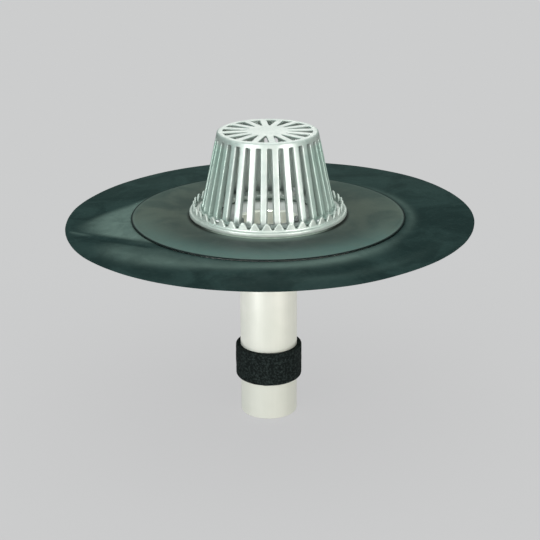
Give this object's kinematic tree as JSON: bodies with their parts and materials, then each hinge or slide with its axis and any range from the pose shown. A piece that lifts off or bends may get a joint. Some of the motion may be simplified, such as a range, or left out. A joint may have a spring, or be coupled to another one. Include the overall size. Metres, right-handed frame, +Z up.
{
  "type": "flat roof drain",
  "caption": "Insert flat roof drain: spun flange pan with a long outlet tube and foam seal, membrane disc and loose skirt, toothed clamp ring and a cast, slotted strainer dome.",
  "frame": {"origin": "centre of the outlet tube's lower end", "axes": "+Z up along the tube's axis, towards the strainer dome; +X and +Y lie in the plane of the flange, and the foam strip's butt joint faces +Y"},
  "size_m": [0.6619, 0.662, 0.4878],
  "materials": {
    "spun_metal": "spun, satin",
    "tube_metal": "satin, slightly warm off-white",
    "cover_membrane": "smooth semi-matte sheet",
    "skirt_membrane": "semi-matte sheet with soft waves",
    "gasket_rubber": "matte, grey",
    "ring_cast": "cast, lightly blasted",
    "dome_cast": "cast, lightly blasted",
    "fastener_steel": "stainless, plain",
    "foam": "open textured black foam"
  },
  "bodies": {
    "root": {"body_flange": "spun_metal", "outlet_tube": "tube_metal", "membrane_cover": "cover_membrane", "membrane_skirt": "skirt_membrane", "clamp_gasket": "gasket_rubber", "clamp_ring": "ring_cast", "clamp_studs": "fastener_steel", "clamp_washers": "fastener_steel", "clamp_nuts": "fastener_steel", "strainer_dome": "dome_cast", "dome_screws": "fastener_steel", "dome_screw_washers": "fastener_steel", "foam_seal": "foam"}
  },
  "joints": []
}
